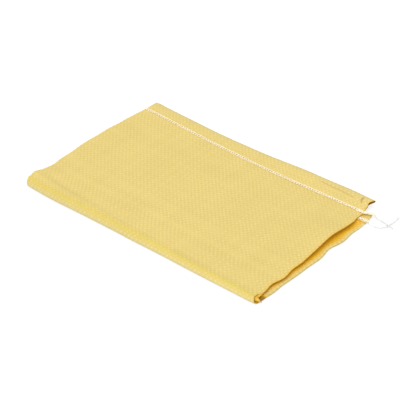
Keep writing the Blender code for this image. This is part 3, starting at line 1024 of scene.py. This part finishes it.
# Each band runs round the tube: the v of its middle, its half width in metres, and its tint. The
# first is cooler and less gold just behind the hem's fold, the second is painted shade along the
# roll's crest, the third painted light on the roll's lower front
BANDS = [
    (0.0625, 0.008, (0.90, 0.94, 1.14, 1.0)),
    (0.4610, 0.009, (0.94, 0.95, 0.52, 1.0)),
    (0.4755, 0.009, (1.05, 1.13, 1.40, 1.0)),
]
# Each line: the u and v of its two ends, its half width, its strength, and its tint. The first two
# are painted shade in creases near the hem; the last is painted light on the shaded slope behind
# the roll's crest
CREASE_SHADE_TINT = (0.68, 0.50, 0.28, 1.0)
SHADE_AND_LIGHT_LINES = [
    ((0.480, 0.0735), (0.562, 0.0770), 0.0028, 0.50, CREASE_SHADE_TINT),
    ((0.580, 0.0672), (0.583, 0.0790), 0.0036, 1.00, CREASE_SHADE_TINT),
    ((-0.020, 0.4390), (0.380, 0.4500), 0.0150, 1.00, (1.08, 1.08, 1.04, 1.0)),
]
print("bands:", len(BANDS), "creases:", len(SHADE_AND_LIGHT_LINES))

# %% Tones and tints as nodes


def random_tone(tree, number, seed):
    """A random tone from 0 to 1 for each tape number."""
    feeds = {"W": calculate(tree, "ADD", number, seed)}
    return add_node(tree, "ShaderNodeTexWhiteNoise", feeds, noise_dimensions="1D").outputs["Value"]


def stretched_noise(tree, uv, scale_u, scale_v, detail):
    """Noise on the UV map, with its own fineness each way."""
    stretched = combine(tree, "MULTIPLY", uv, (scale_u, scale_v, 1.0))
    feeds = {"Vector": stretched, "Scale": 1.0, "Detail": detail}
    return add_node(tree, "ShaderNodeTexNoise", feeds).outputs[0]


def add_tones(tree, total, *parts):
    """Add each value times its amount. A value of a half adds nothing."""
    for value, amount in parts:
        centred = calculate(tree, "SUBTRACT", value, 0.5)
        total = calculate(tree, "MULTIPLY_ADD", centred, amount, total)
    return total


def band_share(tree, length, middle, half_width):
    """1 on the middle of a band that runs round the tube, 0 past its borders."""
    off_middle = calculate(tree, "ABSOLUTE", calculate(tree, "SUBTRACT", length, middle))
    return scale_range(tree, off_middle, 0.0, half_width, 1.0, 0.0)


def line_share(tree, uv, start, end, half_width, strength):
    """The strength on a straight line, and 0 further from it than its half width."""
    start = Vector((*start, 0.0))
    way = Vector((*end, 0.0)) - start
    from_start = combine(tree, "SUBTRACT", uv, start)
    share = combine(tree, "DOT_PRODUCT", from_start, way / way.length_squared, result="Value")
    nearest = scale_vector(tree, way, scale_range(tree, share))
    distance = combine(tree, "DISTANCE", from_start, nearest, result="Value")
    return scale_range(tree, distance, 0.0, half_width, strength, 0.0)


# %% Material of the woven cloth


def woven_material():
    material, tree, shader = new_material("woven_yellow_tape")
    uv, length, warp, weft, warp_on_top, along, across = weave_places(tree)

    # Height: the top tape arches along its length and is flat across, down to its two edges
    arch = calculate(tree, "COSINE", product(tree, along, math.pi))
    off_middle = product(tree, calculate(tree, "ABSOLUTE", across), 2.0)
    edge = calculate(tree, "POWER", off_middle, TAPE_FLATNESS)
    pillow = product(tree, arch, calculate(tree, "SUBTRACT", 1.0, edge))

    # Tone: from tape to tape, from shuttle to shuttle, along the tapes and over the whole cloth, and
    # painted shade where the top tape dips at its ends and edges
    shuttle = calculate(tree, "FLOORED_MODULO", weft, SHUTTLES)
    fuller = scale_range(tree, shuttle, 0.0, 1.0, 1.0, 0.0)
    weft_tone = add_tones(tree, random_tone(tree, weft, 91.0), (fuller, SHUTTLE_CONTRAST))
    tape_tone = choose(tree, warp_on_top, weft_tone, random_tone(tree, warp, 17.0))
    warp_streaks = stretched_noise(tree, uv, *STREAK_SCALES, 2.0)
    weft_streaks = stretched_noise(tree, uv, *STREAK_SCALES[::-1], 2.0)
    streaks = choose(tree, warp_on_top, weft_streaks, warp_streaks)
    patches = stretched_noise(tree, uv, PATCH_SCALE, PATCH_SCALE, 3.0)
    tone = add_tones(
        tree,
        0.5,
        (tape_tone, TAPE_CONTRAST),
        (streaks, STREAK_CONTRAST),
        (patches, PATCH_CONTRAST),
        (pillow, CROSSING_SHADE),
        (warp_on_top, CHEQUER_CONTRAST),
    )
    held_tone = scale_range(tree, tone)
    colour = mix_colours(tree, held_tone, TAPE_DEEP, TAPE_PALE)

    # Tints, each with its share at this place: painted fold shade and painted dark shade by the inside
    # share, then the bands and the lines of painted shade and light
    inside = add_node(tree, "ShaderNodeAttribute", attribute_name="inside").outputs["Fac"]
    painted_dark_share = scale_range(tree, inside, 1.0, 2.0)
    tints = [(inside, PAINTED_FOLD_SHADE_TINT), (painted_dark_share, PAINTED_DARK_SHADE_TINT)]
    tints += [(band_share(tree, length, *band), tint) for *band, tint in BANDS]
    tints += [(line_share(tree, uv, *crease), tint) for *crease, tint in SHADE_AND_LIGHT_LINES]
    for share, tint in tints:
        colour = mix_colours(tree, share, colour, tint, "MULTIPLY")
    feed(tree, shader.inputs["Base Color"], colour)

    # The painted glow inside a fold, which is lost towards its dark end
    painted_glow_share = calculate(tree, "MULTIPLY_ADD", painted_dark_share, -PAINTED_GLOW_LOSS, inside)
    feed(tree, shader.inputs["Emission Color"], mix_colours(tree, painted_glow_share, NO_PAINTED_GLOW, PAINTED_GLOW_COLOUR))
    feed(tree, shader.inputs["Emission Strength"], PAINTED_GLOW_STRENGTH)

    gloss = scale_range(tree, streaks, *STREAK_TONES, *TAPE_ROUGHNESS)
    feed(tree, shader.inputs["Roughness"], gloss)
    feed(tree, shader.inputs["IOR"], TAPE_IOR)
    height = calculate(tree, "MULTIPLY_ADD", streaks, STREAK_RELIEF, pillow)
    add_relief(tree, shader, height, WEAVE_RELIEF, 1.0)
    return material


WOVEN_MATERIAL = woven_material()
sack.data.materials.append(WOVEN_MATERIAL)
print(WOVEN_MATERIAL.name, "has", len(WOVEN_MATERIAL.node_tree.nodes), "nodes")

# %% [markdown]
# Chain stitches
#
# A bag machine makes a chain stitch: each loop of thread holds the one before it. The row could be a
# plain cord with a bump, but the loops are what makes it read as sewn. In this tree one loop is a
# small bent ring, and copies of it follow the seam at the stitch length, each a little uneven.

# %% A tree that sews a chain along a path
LOOP_THREAD = 0.0014
LOOP_CORNERS = 10
LOOP_SIDES = 5
LOOP_TAPER = -0.35
LOOP_MIDDLE_WIDTH = 0.85
BOTTOM_SEAM_SIZES = {
    "Stitch length": 0.0062,
    "Loop width": 0.0062,
    "Thread thickness": LOOP_THREAD,
    "Overlap": 1.28,
    "Rise": -0.3,
    "Unevenness": 0.07,
    "Seed": 3,
    "Material": SEWN_MATERIAL,
}
MOUTH_SEAM_SIZES = BOTTOM_SEAM_SIZES | {"Rise": -0.1, "Seed": 8}


def chain_stitch_tree():
    tree, given, seam = begin_tree("chain_stitches", BOTTOM_SEAM_SIZES)
    feeds = {"Curve": seam, "Length": given["Stitch length"]}
    holes = add_node(tree, "GeometryNodeCurveToPoints", feeds, mode="LENGTH").outputs

    # One loop, long in X: its front end narrows and dips under the next loop's back end
    feeds = {"Resolution": LOOP_CORNERS, "Radius": 1.0}
    ring = add_node(tree, "GeometryNodeCurvePrimitiveCircle", feeds).outputs["Curve"]
    position = add_node(tree, "GeometryNodeInputPosition").outputs["Position"]
    on_ring = add_node(tree, "ShaderNodeSeparateXYZ", {"Vector": position}).outputs
    narrowing = calculate(tree, "MULTIPLY_ADD", on_ring["X"], LOOP_TAPER, LOOP_MIDDLE_WIDTH)
    from_back = calculate(tree, "ADD", on_ring["X"], 1.0)
    feeds = {
        "X": product(tree, on_ring["X"], given["Stitch length"], given["Overlap"], 0.5),
        "Y": product(tree, on_ring["Y"], given["Loop width"], narrowing, 0.5),
        "Z": product(tree, from_back, given["Rise"], given["Thread thickness"]),
    }
    shaped = add_node(tree, "ShaderNodeCombineXYZ", feeds).outputs["Vector"]
    bent = add_node(tree, "GeometryNodeSetPosition", {"Geometry": ring, "Position": shaped})
    loop = round_tube(tree, bent.outputs["Geometry"], given["Thread thickness"], LOOP_SIDES, False)

    # A loop on every hole, along the seam, with its flat side on the cloth
    feeds = {"Primary Axis": holes["Tangent"], "Secondary Axis": holes["Normal"]}
    turn = add_node(tree, "FunctionNodeAxesToRotation", feeds, primary_axis="X", secondary_axis="Y")

    # Sockets 2 and 3 of the random node are the lowest and highest number, and output 1 the number
    feeds = {
        2: calculate(tree, "SUBTRACT", 1.0, given["Unevenness"]),
        3: calculate(tree, "ADD", 1.0, given["Unevenness"]),
        "Seed": given["Seed"],
    }
    uneven = add_node(tree, "FunctionNodeRandomValue", feeds, data_type="FLOAT").outputs[1]
    feeds = {
        "Points": holes["Points"],
        "Instance": loop,
        "Rotation": turn.outputs["Rotation"],
        "Scale": uneven,
    }
    sewn = add_node(tree, "GeometryNodeInstanceOnPoints", feeds).outputs["Instances"]
    return end_tree(tree, sewn, given["Material"])


CHAIN_TREE = chain_stitch_tree()

# %% [markdown]
# Where the seams run
#
# The bottom seam lies on top of the cloth and goes on over the start of its loose end. The mouth's
# seam has a row under the cuff and a row on it. Thread bunches up at the right end of both, so a
# short row lies beside each. The rows could be drawn by hand, but taken from the same functions as
# the cloth they always lie on it.

# %% Sew the bottom seam and the mouth's seam
SEAM_STEPS = 240
FREE_CHAIN_POINTS = 5
KNOT_LENGTH = 0.018
KNOT_ASIDE = 0.0035
SEAM_PLACES = [2 * step / SEAM_STEPS - 1 for step in range(SEAM_STEPS + 1)]
OFF_CLOTH = Vector((0.0, 0.0, CLOTH / 2 + LOOP_THREAD / 2))


def knot_beside(row, length, aside):
    """The last part of a row, set aside."""
    return [point + aside for point in row if point.x > row[-1].x - length]


def bottom_seam(share, across, wall):
    """The line of the seam, written as a stage of the tube."""
    y = seam_line(across)
    return y, top_height(across, y), 0.0


def bottom_seam_rows():
    row = [wall_point(bottom_seam, 0.0, across, OUTER) + OFF_CLOTH for across in SEAM_PLACES]
    row += [Vector(point) for point in BOTTOM_END_ROUTE[:FREE_CHAIN_POINTS]]
    aside = Vector((KNOT_ASIDE, -KNOT_ASIDE, 0.0)) / 2
    return row, knot_beside(row, 2 * KNOT_LENGTH, aside)[:-1]


def mouth_seam_rows():
    share = (MOUTH_SEAM_IN - LAYER_PITCH / 2) / (MOUTH_Y - CUFF_END_Y - LAYER_PITCH / 2)
    lowered = [wall_point(cuff, share, across, OUTER) - OFF_CLOTH for across in SEAM_PLACES]
    raised = [wall_point(cuff, share, across, INNER) + OFF_CLOTH for across in SEAM_PLACES]
    return lowered, raised, knot_beside(raised, KNOT_LENGTH, Vector((0.0, -KNOT_ASIDE, 0.0)))


bottom_stitches = apply_tree("bottom_seam_stitches", bottom_seam_rows(), CHAIN_TREE, BOTTOM_SEAM_SIZES)
mouth_stitches = apply_tree("mouth_seam_stitches", mouth_seam_rows(), CHAIN_TREE, MOUTH_SEAM_SIZES)

# %% [markdown]
# The studio
#
# The floor is pale and the light comes softly from all round, so shadows stay faint. Many lamps
# could be placed, but one even sky and one wide soft sun do the same with less to adjust. Colours
# are shown as they are, without a film look, so that white stays white.

# %% Floor, light and colour
WHITE = (1.0, 1.0, 1.0, 1.0)
FLOOR_HALF = 7.0
FLOOR_DROP = 0.0004
FLOOR_PALE = (0.25, 0.25, 0.25, 1.0)
FLOOR_ROUGHNESS = 0.95
FLOOR_GLOW_STRENGTH = 0.71
SKY_STRENGTH = 0.80
SUN_STRENGTH = 2.3
SUN_SPREAD = math.radians(70.0)
SUN_DIRECTION = Vector((0.15, 0.30, -1.0))


def make_floor():
    mesh = bpy.data.meshes.new("studio_floor")
    signs = [(-1, -1), (1, -1), (1, 1), (-1, 1)]
    corners = [(x * FLOOR_HALF, y * FLOOR_HALF, -FLOOR_DROP) for x, y in signs]
    mesh.from_pydata(corners, [], [(0, 1, 2, 3)])
    material, tree, shader = new_material("pale_studio_floor")
    feed(tree, shader.inputs["Base Color"], FLOOR_PALE)
    feed(tree, shader.inputs["Roughness"], FLOOR_ROUGHNESS)
    feed(tree, shader.inputs["Emission Color"], WHITE)
    feed(tree, shader.inputs["Emission Strength"], FLOOR_GLOW_STRENGTH)
    mesh.materials.append(material)
    return new_object("studio_floor", mesh)


def light_studio():
    world = bpy.data.worlds.new("studio_sky")
    world.use_nodes = True
    sky = world.node_tree.nodes["Background"]
    feed(world.node_tree, sky.inputs["Color"], WHITE)
    feed(world.node_tree, sky.inputs["Strength"], SKY_STRENGTH)
    bpy.context.scene.world = world
    lamp = bpy.data.lights.new("soft_sun", "SUN")
    lamp.energy = SUN_STRENGTH
    lamp.angle = SUN_SPREAD
    sun = new_object("soft_sun", lamp)
    sun.rotation_euler = SUN_DIRECTION.to_track_quat("-Z", "Y").to_euler()


floor = make_floor()
light_studio()
bpy.context.scene.view_settings.view_transform = "Standard"
print("floor and light are ready")

# %% Ride and replace
PIECES = [
    (sack, "sack_cloth", "woven_cloth"),
    (bottom_stitches, "hem_seam_thread", "thread"),
    (mouth_stitches, "mouth_seam_thread", "thread"),
    (bottom_end, "hem_seam_tail", "thread"),
    (mouth_end, "mouth_seam_tail", "thread"),
]

for piece, node, slot in PIECES:
    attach(piece, "root")
    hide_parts(node)
